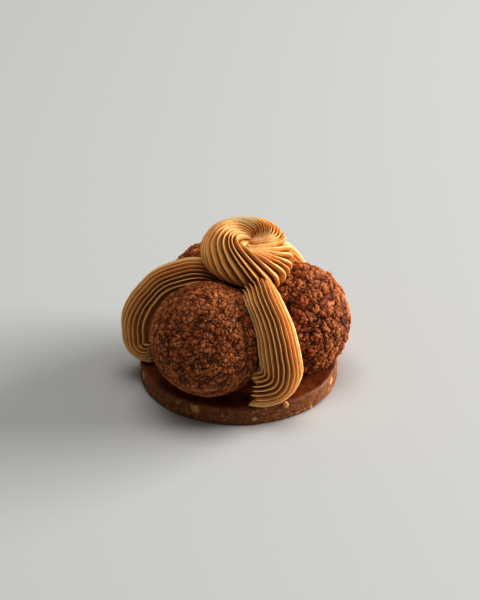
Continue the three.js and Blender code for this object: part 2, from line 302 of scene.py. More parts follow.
# the section from the middle underneath, out to the side, up it and back to the middle of the top
def discBase():
    radius, thickness = disc["Radius"], disc["Thickness"]
    underRows, sideRows = 10, 30
    topRows = disc["Rows"] - underRows - sideRows
    edge = 1.3  # mm of rounding at both edges
    underReach, topSpacing, sideFullness = 0.985, 1.3, 0.4  # share of the radius, and two powers
    glazeEdge = [0.15, 0.35, 0.6, 0.8, 0.95]  # the glaze runs out over the last rows of the side
    points = [(radius * n / underRows * underReach, 0, 0.0) for n in range(underRows)]
    for n in range(sideRows):
        rise = thickness * n / (sideRows - 1)
        nearEdge = max(edge - rise, rise - (thickness - edge), 0) / edge
        points.append((radius - edge * (1 - math.sqrt(max(0, 1 - nearEdge ** 2))), 0, rise))
    for n in range(topRows):
        points.append(((radius - edge) * (1 - ((n + 1) / topRows) ** topSpacing), 0, thickness))
    side = [math.sin(math.pi * (n + 0.5) / sideRows) ** sideFullness for n in range(sideRows)]
    side = [0.0] * underRows + side + [0.0] * topRows
    glaze = [0.0] * (underRows + sideRows - len(glazeEdge)) + glazeEdge + [1.0] * topRows
    return chainMesh("puff_disc", points, side=side, glaze=glaze)


def discTree(sizes):
    strayLength, layerLength, dentLength = 22, 4.5, 6.0  # mm
    layerSwing, dentSwing, dentLevel = 1.2, 2.0, -1.4  # stretch of each noise, and the dents' drop
    plainMiddle = 25.0  # mm from the middle, inside which nothing strays
    tree, given = newTree("layered_disc", sizes)
    add = partial(addNode, tree)
    grid, around, along = addSweepGrid(add, given)
    section, read = addSectionReader(add, given, along)
    glaze = read("glaze")
    way = addWay(add, add("ShaderNodeMath MULTIPLY", [around, turn]))
    flat = add("ShaderNodeVectorMath SCALE", [way, section.outputs["X"]])
    level = add("ShaderNodeCombineXYZ", [0.0, 0.0, section.outputs["Z"]])
    place = add("ShaderNodeVectorMath ADD", [flat, level])
    # the cut edge strays from a circle, and each layer stands out or back by its own amount
    rim = add("ShaderNodeVectorMath SCALE", [way, given["Radius"]])
    wander = add("ShaderNodeTexNoise", {"Vector": rim, "Scale": 1 / strayLength, "Detail": 3.0})
    wander = add("ShaderNodeMath MULTIPLY_ADD", [wander, 2.0, -1.0])
    wander = add("ShaderNodeMath MULTIPLY", [wander, given["Wander"]])
    outerHalf = add("ShaderNodeMath GREATER_THAN", [section.outputs["X"], plainMiddle])
    wander = add("ShaderNodeMath MULTIPLY", [wander, outerHalf])
    squeezed = add("ShaderNodeVectorMath MULTIPLY", [place, (1.0, 1.0, 2.2)])  # wider than thick
    rough = {"Scale": 1 / layerLength, "Detail": 5.0, "Roughness": 0.65}
    layers = add("ShaderNodeTexNoise", {"Vector": squeezed, **rough})
    layers = add("ShaderNodeMath MULTIPLY_ADD", [layers, 2 * layerSwing, -layerSwing])
    layers = add("ShaderNodeMath MULTIPLY", [layers, read("side")])
    pushed = add("ShaderNodeMath MULTIPLY_ADD", [layers, given["Layer depth"], wander])
    place = add("ShaderNodeVectorMath ADD", [place, add("ShaderNodeVectorMath SCALE", [way, pushed])])
    # the top is dented, mostly downwards
    dents = add("ShaderNodeTexNoise", {"Vector": place, "Scale": 1 / dentLength, "Detail": 3.0})
    dents = add("ShaderNodeMath MULTIPLY_ADD", [dents, dentSwing, dentLevel])
    dents = add("ShaderNodeMath MULTIPLY", [dents, given["Top dents"]])
    dents = add("ShaderNodeMath MULTIPLY", [dents, glaze])
    place = add("ShaderNodeVectorMath ADD", [place, add("ShaderNodeCombineXYZ", [0.0, 0.0, dents])])
    marked = add("GeometryNodeStoreNamedAttribute", {"Geometry": grid, "Name": "glaze", "Value": glaze})
    endTree(tree, given, add("GeometryNodeSetPosition", {"Geometry": marked, "Position": place}))
    return tree


bakePiece("pastry_disc", "puff_disc", discTree(disc), disc, puffFinish, discBase())

# Choux buns: balls of stuck crumbs in wider chunks, flat underneath and where two buns press together

buns = {
    "chou_left": {
        "Centre": (-12.4, -24.2, 30.8), "Radius": 23.6, "Grain size": 1.8, "Grain depth": 1.0,
        "Clump size": 4.4, "Clump depth": 0.5, "Worn foot": 0.6, "Seed place": (11.0, 3.0, 7.0),
    },
    "chou_right": {
        "Centre": (22.4, 0.9, 26.0), "Radius": 24.0, "Grain size": 2.2, "Grain depth": 1.15,
        "Clump size": 5.6, "Clump depth": 1.6, "Worn foot": 0.1, "Seed place": (23.0, 71.0, 5.0),
    },
    "chou_back": {
        "Centre": (-9.4, 27.0, 24.2), "Radius": 21.8, "Grain size": 2.1, "Grain depth": 1.05,
        "Clump size": 5.0, "Clump depth": 1.1, "Worn foot": 0.4, "Seed place": (37.0, 19.0, 53.0),
    },
}
bunGrid = 125  # points along each edge of the cube that is blown up to a ball
pressPlanes = 2


# the planes where a bun meets its neighbours, each as a point and the way it faces
def bunPresses(name):
    centre, radius = Vector(buns[name]["Centre"]), buns[name]["Radius"]
    found = []
    for sizes in buns.values():
        towards = Vector(sizes["Centre"]) - centre
        apart = towards.length
        if 0 < apart < radius + sizes["Radius"]:
            reach = (apart ** 2 + radius ** 2 - sizes["Radius"] ** 2) / (2 * apart) - gap / 2
            found.append((tuple(centre + towards / apart * reach), tuple(towards / apart)))
    while len(found) < pressPlanes:
        found.append(((0.0, 0.0, outOfReach), (0.0, 0.0, 1.0)))
    planes = {}
    for n in range(pressPlanes):
        planes[f"Press at {n}"], planes[f"Press way {n}"] = found[n]
    return planes


# how high a layer of cracked grains stands, from 0 in a crack to 1 on the tallest, and each one's luck
def addGrains(add, point, size, crack):
    crackFloor, doming, shortest = 0.1, 1.1, 0.5  # shares of the tallest grain
    scale = add("ShaderNodeMath DIVIDE", [1.0, size])
    grain = add("ShaderNodeTexVoronoi", {"Vector": point, "Scale": scale}, feature="F1")
    edge = add("ShaderNodeTexVoronoi", {"Vector": point, "Scale": scale}, feature="DISTANCE_TO_EDGE")
    apart = add("ShaderNodeMapRange", [edge, 0.0, crack, crackFloor, 1.0], interpolation_type="SMOOTHSTEP")
    near = add("ShaderNodeMath MULTIPLY", [grain.outputs["Distance"], grain.outputs["Distance"]])
    dome = add("ShaderNodeMath MULTIPLY_ADD", [near, -doming, 1.0], use_clamp=True)
    luck = add("ShaderNodeSeparateXYZ", [grain.outputs["Color"]]).outputs["X"]
    tall = add("ShaderNodeMath MULTIPLY_ADD", [luck, 1.0 - shortest, shortest])
    tall = add("ShaderNodeMath MULTIPLY", [dome, tall])
    return add("ShaderNodeMath MULTIPLY", [tall, apart]), luck


def bunTree(sizes):
    drifts = ((5.0, 1.2), (1.4, 0.3))  # mm, length and reach of what bends the cracks
    bakedLength, swellLength, gritLength = 3.0, 11, 0.7  # mm
    bakedLow, bakedHigh = 0.35, 0.65  # between these values of the noise the cracks widen
    swellHeight, gritHeight = 1.6, 0.35  # mm
    meanHeight, meanClump = 1.3, 0.5  # mm, and a share of the clumps' depth
    clumpCleft, cleftShade = 0.4, 0.5  # painted shade: clefts between clumps are darker up to this height
    thinCrack, wideCrack, clumpCrack, dustCrack = 0.02, 0.34, 0.12, 0.2  # shares of a grain
    smallerSize, dustSize, smallerHeight, dustHeight = 0.68, 0.42, 0.85, 0.3  # shares of a grain
    footLow, footHigh = -0.8, 0.1  # heights on a ball of radius 1 between which the worn foot ends
    tree, given = newTree("crackled_bun", sizes)
    add = partial(addNode, tree)
    cube = add("GeometryNodeMeshCube", [(2, 2, 2), given["Grid"], given["Grid"], given["Grid"]])
    # the tangent spreads the cube's points evenly over the ball
    here = add("ShaderNodeVectorMath SCALE", [add("GeometryNodeInputPosition"), math.pi / 4])
    way = add("ShaderNodeVectorMath NORMALIZE", [add("ShaderNodeVectorMath TANGENT", [here])])
    ball = add("ShaderNodeVectorMath SCALE", [way, given["Radius"]])
    spot = add("ShaderNodeVectorMath ADD", [ball, given["Seed place"]])
    strayed = spot
    for length, reach in drifts:
        strayed = addDrift(add, strayed, length, reach)
    # clumps carry grains, and those carry smaller ones
    baked = add("ShaderNodeTexNoise", {"Vector": spot, "Scale": 1 / bakedLength, "Detail": 2.0})
    crack = add("ShaderNodeMapRange", [baked, bakedLow, bakedHigh, thinCrack, wideCrack])
    smaller = add("ShaderNodeMath MULTIPLY", [given["Grain size"], smallerSize])
    dust = add("ShaderNodeMath MULTIPLY", [given["Grain size"], dustSize])
    clumps, _ = addGrains(add, strayed, given["Clump size"], clumpCrack)
    grains, luck = addGrains(add, strayed, given["Grain size"], crack)
    smaller, _ = addGrains(add, strayed, smaller, crack)
    dust, _ = addGrains(add, strayed, dust, dustCrack)
    heap = add("ShaderNodeMath MAXIMUM", [grains, add("ShaderNodeMath MULTIPLY", [smaller, smallerHeight])])
    heap = add("ShaderNodeMath MULTIPLY_ADD", [dust, dustHeight, heap])
    swell = add("ShaderNodeTexNoise", {"Vector": spot, "Scale": 1 / swellLength, "Detail": 2.0})
    grit = add("ShaderNodeTexNoise", {"Vector": spot, "Scale": 1 / gritLength, "Detail": 1.0})
    # the crust is smoother towards the foot, where it was stretched less
    low = add("ShaderNodeSeparateXYZ", [way]).outputs["Z"]
    worn = add("ShaderNodeMath SUBTRACT", [1.0, given["Worn foot"]])
    whole = add("ShaderNodeMapRange", [low, footLow, footHigh, worn, 1.0])
    height = add("ShaderNodeMath MULTIPLY", [heap, given["Grain depth"]])
    height = add("ShaderNodeMath MULTIPLY_ADD", [clumps, given["Clump depth"], height])
    height = add("ShaderNodeMath MULTIPLY", [height, whole])
    height = add("ShaderNodeMath MULTIPLY_ADD", [swell, swellHeight, height])
    height = add("ShaderNodeMath MULTIPLY_ADD", [grit, gritHeight, height])
    # the whole crust is sunk by about its mean height, so that the bun keeps its radius
    sunk = add("ShaderNodeMath MULTIPLY_ADD", [given["Clump depth"], -meanClump, -meanHeight])
    outer = add("ShaderNodeMath ADD", [given["Radius"], add("ShaderNodeMath ADD", [height, sunk])])
    point = add("ShaderNodeVectorMath MULTIPLY_ADD", [way, outer, given["Centre"]])
    for n in range(pressPlanes):
        past = add("ShaderNodeVectorMath SUBTRACT", [point, given[f"Press at {n}"]])
        past = add("ShaderNodeVectorMath DOT_PRODUCT", [past, given[f"Press way {n}"]])
        past = add("ShaderNodeMath MAXIMUM", [past, 0.0])
        back = add("ShaderNodeVectorMath SCALE", [given[f"Press way {n}"], past])
        point = add("ShaderNodeVectorMath SUBTRACT", [point, back])
    point = add("ShaderNodeVectorMath MAXIMUM", [point, onDisc])
    # painted shade between the clumps goes into the crag value, which darkens the finish there
    shade = add("ShaderNodeMapRange", [clumps, 0.0, clumpCleft, cleftShade, 1.0])
    crag = add("ShaderNodeMath MULTIPLY", [heap, shade])
    marked = add("GeometryNodeStoreNamedAttribute", {"Geometry": cube, "Name": "crag", "Value": crag})
    marked = add("GeometryNodeStoreNamedAttribute", {"Geometry": marked, "Name": "luck", "Value": luck})
    endTree(tree, given, add("GeometryNodeSetPosition", {"Geometry": marked, "Position": point}))
    return tree


bunSizes = {name: {"Grid": bunGrid, **sizes, **bunPresses(name)} for name, sizes in buns.items()}
crackledBun = bunTree(bunSizes["chou_left"])
for name, sizes in bunSizes.items():
    bakePiece("crust_" + name, name, crackledBun, sizes, crustFinish, bpy.data.meshes.new(name))

creamGap = 0.2  # mm between the cream and the balls of the buns
wobble = (9.0, 0.45)  # mm, length and reach of a hand's slow wobble in the cream


# presses a point of soft cream out of the buns and off the disc, onto their surfaces
def addPress(add, point):
    for sizes in buns.values():
        out = add("ShaderNodeVectorMath SUBTRACT", [point, sizes["Centre"]])
        far = add("ShaderNodeVectorMath LENGTH", [out])
        far = add("ShaderNodeMath MAXIMUM", [far, sizes["Radius"] + creamGap])
        out = add("ShaderNodeVectorMath NORMALIZE", [out])
        point = add("ShaderNodeVectorMath MULTIPLY_ADD", [out, far, sizes["Centre"]])
    return add("ShaderNodeVectorMath MAXIMUM", [point, onDisc])


# Cream ropes: ribbed rods swept along their paths, ending in a comb of tips where the nozzle tore away

ropeLook = {
    "Ribs": 24, "Rib depth": 2.3, "Rib sharpness": 2.0, "Comb": 0.07, "Stagger": 0.06, "Hollow": 0.9,
    "Columns": 24 * 12 + 1, "Rows": 240,  # 12 columns on each rib
}
ropes = {
    "rope_front": {
        "bearing": -63.5, "belly": 39.2, "brow": 5, "bow": 2.2, "fill": 8,
        "tailOut": 34.6, "tailSide": 13.5, "lag": 0.6,
    },
    "rope_left": {
        "bearing": 179, "belly": 39.9, "brow": 0.8, "bow": 0, "fill": 13,
        "tailOut": 32.0, "tailSide": -2, "lag": 0.0,
    },
    "rope_back": {
        "bearing": 57, "belly": 39.5, "brow": 0, "bow": 0, "fill": 9,
        "tailOut": 34.0, "tailSide": 7, "lag": 0.3,
    },
}


# the path of a rope, with how thick it is and how deep it fills the groove at each point
def ropeBase(name):
    rope = ropes[name]
    belly, brow, bow, fill = (rope[key] for key in ("belly", "brow", "bow", "fill"))
    tailOut, tailSide = rope["tailOut"], rope["tailSide"]
    stations = [  # distance out, height, sideways, thickness, fill
        (8.5, 45.5, 0, 5.0, 0),
        (16.5, 48.0, 0, 7.2, 0.3 * fill),
        (belly - 11.5, 43.8 + brow, bow, 7.6, 0.8 * fill),
        (belly - 4.6, 36.8 + 1.2 * brow, 0.85 * bow, 8.1, fill),
        (belly - 1.1, 30.6 + brow, 0.6 * bow, 8.7, fill),
        (belly, 27.0, 0.2 * bow, 9.1, 0.9 * fill),
        (belly - 0.1, 21.6, 0.06 * tailSide, 9.2, 0.5 * fill),
        (belly - 0.5, 17.6, 0.24 * tailSide, 9.0, 0.3 * fill),
        (0.55 * belly + 0.45 * tailOut, 15.4, 0.57 * tailSide, 8.4, 0.1 * fill),
        (tailOut, 15.2, tailSide, 7.2, 0),
    ]
    bearing = math.radians(rope["bearing"])
    cosine, sine = math.cos(bearing), math.sin(bearing)
    points = []
    for out, height, side, *_ in stations:
        points.append((out * cosine + side * sine, out * sine - side * cosine, height))
    return chainMesh(name, points, thick=[s[3] for s in stations], fill=[s[4] for s in stations])


# how a rope's section is held back where its path turns aside at the tail: the nozzle stays half upright
def ropeLag(name):
    rope = ropes[name]
    bearing, aside = math.radians(rope["bearing"]), math.copysign(rope["lag"], rope["tailSide"])
    return {"Tail lag": (aside * math.sin(bearing), -aside * math.cos(bearing), -rope["lag"])}


def ropeTree(sizes):
    bodyShare = 0.95  # of the rows are outside, before they turn back into the hollow tail
    headShare = 0.03  # of the rows round off the upper end
    lagStarts, lagFull, lagFades = 0.45, 0.7, 0.75  # shares of the path
    deepFrom, deepTimes = 0.84, 1.6  # from this share of the path the ribs deepen
    luckHeight = 0.5  # mm between the lowest and the highest rib
    leastSquint = 0.65  # keeps a section that is held back from growing too wide
    valleyShadeValue = 0.1  # crest value in a valley, so that the valleys take nearly the full painted shade
    core = (0.0, 0.0, 20.0)  # mm, the middle of the pastry
    drag = (1.6, 0.07)  # mm, length and reach of the nozzle's fine drag
    tree, given = newTree("ribbed_rope", sizes)
    add = partial(addNode, tree)
    path = add("GeometryNodeMeshToCurve", {"Mesh": given["Base"]})
    path = add("GeometryNodeCurveSplineType", {"Curve": path}, spline_type="CATMULL_ROM")
    path = add("GeometryNodeSetSplineResolution", {"Geometry": path, "Resolution": 24})
    grid, around, along = addSweepGrid(add, given)
    # 1 on a rib's crest and 0 in the valley between two
    phase = add("ShaderNodeMath MULTIPLY", [around, given["Ribs"]])
    acrossRib = add("ShaderNodeMath MULTIPLY", [add("ShaderNodeMath PINGPONG", [phase, 0.5]), 2.0])
    crest = add("ShaderNodeMath COSINE", [add("ShaderNodeMath MULTIPLY", [acrossRib, math.pi])])
    crest = add("ShaderNodeMath MULTIPLY_ADD", [crest, 0.5, 0.5])
    crest = add("ShaderNodeMath POWER", [crest, given["Rib sharpness"]])
    offCrest = add("ShaderNodeMath SUBTRACT", [1.0, crest])
    rib = add("ShaderNodeMath MODULO", [add("ShaderNodeMath ROUND", [phase]), given["Ribs"]])
    luck = add("FunctionNodeRandomValue", {"ID": rib, "Seed": 4})
    # the outside runs to the tips, which are longest on the crests, and then turns back into the hollow
    outside = add("ShaderNodeMath DIVIDE", [along, bodyShare], use_clamp=True)
    inside = add("ShaderNodeMapRange", [along, bodyShare, 1.0, 0.0, 1.0])
    short = add("ShaderNodeMath MULTIPLY", [offCrest, given["Comb"]])
    uneven = add("ShaderNodeMath MULTIPLY", [luck, crest])
    uneven = add("ShaderNodeMath MULTIPLY", [uneven, given["Stagger"]])
    reach = add("ShaderNodeMath SUBTRACT", [add("ShaderNodeMath SUBTRACT", [1.0, short]), uneven])
    way = add("ShaderNodeMath MULTIPLY", [outside, reach])
    way = add("ShaderNodeMix", [inside, way, given["Hollow"]], data_type="FLOAT")
    thick = add("GeometryNodeInputNamedAttribute", ["thick"], data_type="FLOAT")
    fill = add("GeometryNodeInputNamedAttribute", ["fill"], data_type="FLOAT")
    sampled = add("GeometryNodeSampleCurve", {"Curves": path, "Value": thick, "Factor": way}, mode="FACTOR")
    filled = add("GeometryNodeSampleCurve", {"Curves": path, "Value": fill, "Factor": way}, mode="FACTOR")
    centre, tangent, thick = (sampled.outputs[key] for key in ("Position", "Tangent", "Value"))
    # the section turns less than the path at the tail, so that all ribs sweep aside in much the same arc
    lag = add("ShaderNodeMapRange", [way, lagStarts, lagFull, 0.0, 1.0], interpolation_type="SMOOTHSTEP")
    lag = add("ShaderNodeMapRange", [way, lagFades, 1.0, lag, 0.0], interpolation_type="SMOOTHSTEP")
    lag = add("ShaderNodeVectorMath SCALE", [given["Tail lag"], lag])
    forward = add("ShaderNodeVectorMath NORMALIZE", [add("ShaderNodeVectorMath ADD", [tangent, lag])])
    squint = add("ShaderNodeVectorMath DOT_PRODUCT", [tangent, forward])
    widen = add("ShaderNodeMath DIVIDE", [1.0, add("ShaderNodeMath MAXIMUM", [squint, leastSquint])])
    # outwards from the pastry's core, square to the path
    fromCore = add("ShaderNodeVectorMath SUBTRACT", [centre, core])
    onPath = add("ShaderNodeVectorMath PROJECT", [fromCore, forward])
    outward = add("ShaderNodeVectorMath SUBTRACT", [fromCore, onPath])
    outward = add("ShaderNodeVectorMath NORMALIZE", [outward])
    side = add("ShaderNodeVectorMath CROSS_PRODUCT", [forward, outward])
    angle = add("ShaderNodeMath MULTIPLY", [around, -turn])
    up = add("ShaderNodeMath SINE", [angle])
    # ribs of their own heights, which stand deeper at the torn tail
    deepen = add("ShaderNodeMapRange", [way, deepFrom, 1.0, 1.0, deepTimes])
    depth = add("ShaderNodeMath MULTIPLY", [given["Rib depth"], deepen])
    valley = add("ShaderNodeMath MULTIPLY", [offCrest, depth])
    proud = add("ShaderNodeMath MULTIPLY_ADD", [luck, luckHeight, -luckHeight / 2])
    proud = add("ShaderNodeMath MULTIPLY", [proud, crest])
    radius = add("ShaderNodeMath SUBTRACT", [thick, add("ShaderNodeMath SUBTRACT", [valley, proud])])
    radius = add("ShaderNodeMath MULTIPLY", [radius, add("ShaderNodeMath SUBTRACT", [1.0, inside])])
    head = add("ShaderNodeMapRange", [along, 0.0, headShare, 0.0, 1.0])
    radius = add("ShaderNodeMath MULTIPLY", [radius, head])
    # the inner half reaches deeper, to fill the groove between the buns
    deeper = add("ShaderNodeMath DIVIDE", [filled.outputs["Value"], thick])
    inner = add("ShaderNodeMath LESS_THAN", [up, 0.0])
    deeper = add("ShaderNodeMath MULTIPLY_ADD", [deeper, inner, 1.0])
    upright = add("ShaderNodeMath MULTIPLY", [add("ShaderNodeMath MULTIPLY", [up, radius]), deeper])
    sideways = add("ShaderNodeMath MULTIPLY", [add("ShaderNodeMath COSINE", [angle]), radius])
    sideways = add("ShaderNodeMath MULTIPLY", [sideways, widen])
    point = add("ShaderNodeVectorMath ADD", [centre, add("ShaderNodeVectorMath SCALE", [side, sideways])])
    point = add("ShaderNodeVectorMath ADD", [point, add("ShaderNodeVectorMath SCALE", [outward, upright])])
    point = addPress(add, addDrift(add, addDrift(add, point, *wobble), *drag))
    # the crest value paints a highlight on each rib's crest and shade in its valleys, in the finish
    tone = add("ShaderNodeMath MULTIPLY_ADD", [crest, 1.0 - valleyShadeValue, valleyShadeValue])
    marked = add("GeometryNodeStoreNamedAttribute", {"Geometry": grid, "Name": "crest", "Value": tone})
    endTree(tree, given, add("GeometryNodeSetPosition", {"Geometry": marked, "Position": point}))
    return tree


ropeSizes = {name: {**ropeLook, **ropeLag(name)} for name in ropes}
ribbedRope = ropeTree(ropeSizes["rope_front"])
for name, sizes in ropeSizes.items():
    bakePiece("cream_" + name, name, ribbedRope, sizes, creamFinish, ropeBase(name))

# A dab of cream that the front rope's foot left on the rim of the disc

dab = {"Place": (19.4, -37.3, 7.7), "Extent": (1.0, 0.75, 1.5), "Lumps": 0.5}


def dabTree(sizes):
    lumpsPerMm, dabHighlightValue = 0.9, 0.8  # the tone is its crest value, which lays a third of the painted crest highlight over the whole dab
    tree, given = newTree("cream_dab", sizes)
    add = partial(addNode, tree)
    ball = add("GeometryNodeMeshIcoSphere", {"Radius": 1.0, "Subdivisions": 5}).outputs["Mesh"]
    spot = add("ShaderNodeVectorMath MULTIPLY", [add("GeometryNodeInputPosition"), given["Extent"]])
    noise = add("ShaderNodeTexNoise", {"Vector": spot, "Scale": lumpsPerMm, "Detail": 2.0})
    lumps = add("ShaderNodeVectorMath SUBTRACT", [noise.outputs["Color"], noiseMiddle])
    reach = add("ShaderNodeMath MULTIPLY", [given["Lumps"], 2.0])
    lumps = add("ShaderNodeVectorMath SCALE", [lumps, reach])
    point = add("ShaderNodeVectorMath ADD", [spot, lumps])
    point = add("ShaderNodeVectorMath ADD", [point, given["Place"]])
    marked = add("GeometryNodeStoreNamedAttribute", {"Geometry": ball, "Name": "crest", "Value": dabHighlightValue})
    endTree(tree, given, add("GeometryNodeSetPosition", {"Geometry": marked, "Position": point}))
    return tree


bakePiece("cream_dab", None, dabTree(dab), dab, creamFinish, bpy.data.meshes.new("cream_dab"))

# Rosette: a ring piped in one turn and closed at its eye, with ridges that swirl from there over the rim

rosette = {
    "Centre": (2.4, -1.2, 59.2), "Radius": 18.4, "Eye shift": (2.6, 3.4, 0.4), "Lean": (4.0, 6.0, 0.0),
    "Droop bearing": -20.0, "Droop": 4.2, "Flatten": 0.25, "Spread": 1.2,
    "Ridges": 26, "Ridge depth": 3.5, "Uneven": 0.006, "Streak depth": 0.7,
    "Swirl": 150.0, "Turn bearing": 175.0, "Slit bearing": 125.0, "Slit depth": 4.5,
    "Fan bearing": 0.0, "Fan start": (-3.0, -11.0, -1.5), "Fan straightness": 0.5,
    "Lobe bearing": 38.0, "Lobe reach": 3.4,
    "Columns": 26 * 12 + 1, "Rows": 300,  # 12 columns on each ridge
}
ring = {"tube": 9.4, "eyeDepth": 5.0, "fanDepth": 1.6, "rimShare": 0.64}  # mm, and where along it the rim is
# from one groove to the next: share of the way, and depth
grooveProfile = ((0.15, 0.72), (0.4, 0.3), (0.68, 0.0), (0.86, 0.26), (0.95, 0.7))


# half of the ring's section from the eye over the crest and rim to the middle underneath
def rosetteBase():
    radius, tube, eyeDepth = rosette["Radius"], ring["tube"], ring["eyeDepth"]
    eyeSwing, sectionSwing = 0.9 * math.pi, 1.4 * math.pi
    underRows, firstShare, rowSpacing = 4, 0.03, 1.3  # rows lie closest near the eye
    eyeBend, fanBend, eyeLean = 1.5, 2, 0.5  # how the section dips to the eye and to the fan's start
    carveShare = 0.5  # of the radius, where the ridges reach their full depth
    ringRows = rosette["Rows"] - underRows - 1
    crestOut = radius - tube
    # out, rise, unrolled, carve, lean out, lean up, fan's rise, fan's pull
    rows = [(0.0, tube - eyeDepth, 0.0, 0.0, 0.0, 1.0, tube - eyeDepth, 0.0)]
    for n in range(ringRows):
        unrolled = firstShare + (1 - firstShare) * (n / (ringRows - 1)) ** rowSpacing
        swing = eyeSwing - sectionSwing * unrolled
        leanOut, leanUp = math.cos(swing), math.sin(swing)
        out, rise = crestOut + tube * leanOut, tube * leanUp
        fanRise = rise
        if out < crestOut:
            rise = tube - eyeDepth * (1 - out / crestOut) ** eyeBend
            fanRise = tube - ring["fanDepth"] * (1 - out / crestOut) ** fanBend
            leanOut, leanUp = eyeLean * leanOut, 1.0
        carve = min(1, out / (carveShare * radius))
        pull = max(0, 1 - out / radius)
        rows.append((out, rise, unrolled, carve, leanOut, leanUp, fanRise, pull))
    lastOut = rows[-1][0]
    for n in range(underRows):
        out = lastOut * (1 - (n + 1) / underRows)
        rows.append((out, -tube, 1.0, 0.0, 0.0, -1.0, -tube, 0.0))
    out, rise, unrolled, carve, leanOut, leanUp, fanRise, pull = zip(*rows)
    points = [(x, 0, z) for x, z in zip(out, rise)]
    return chainMesh("rosette", points, unrolled=unrolled, carve=carve, leanOut=leanOut, leanUp=leanUp,
                     fanRise=fanRise, pull=pull)


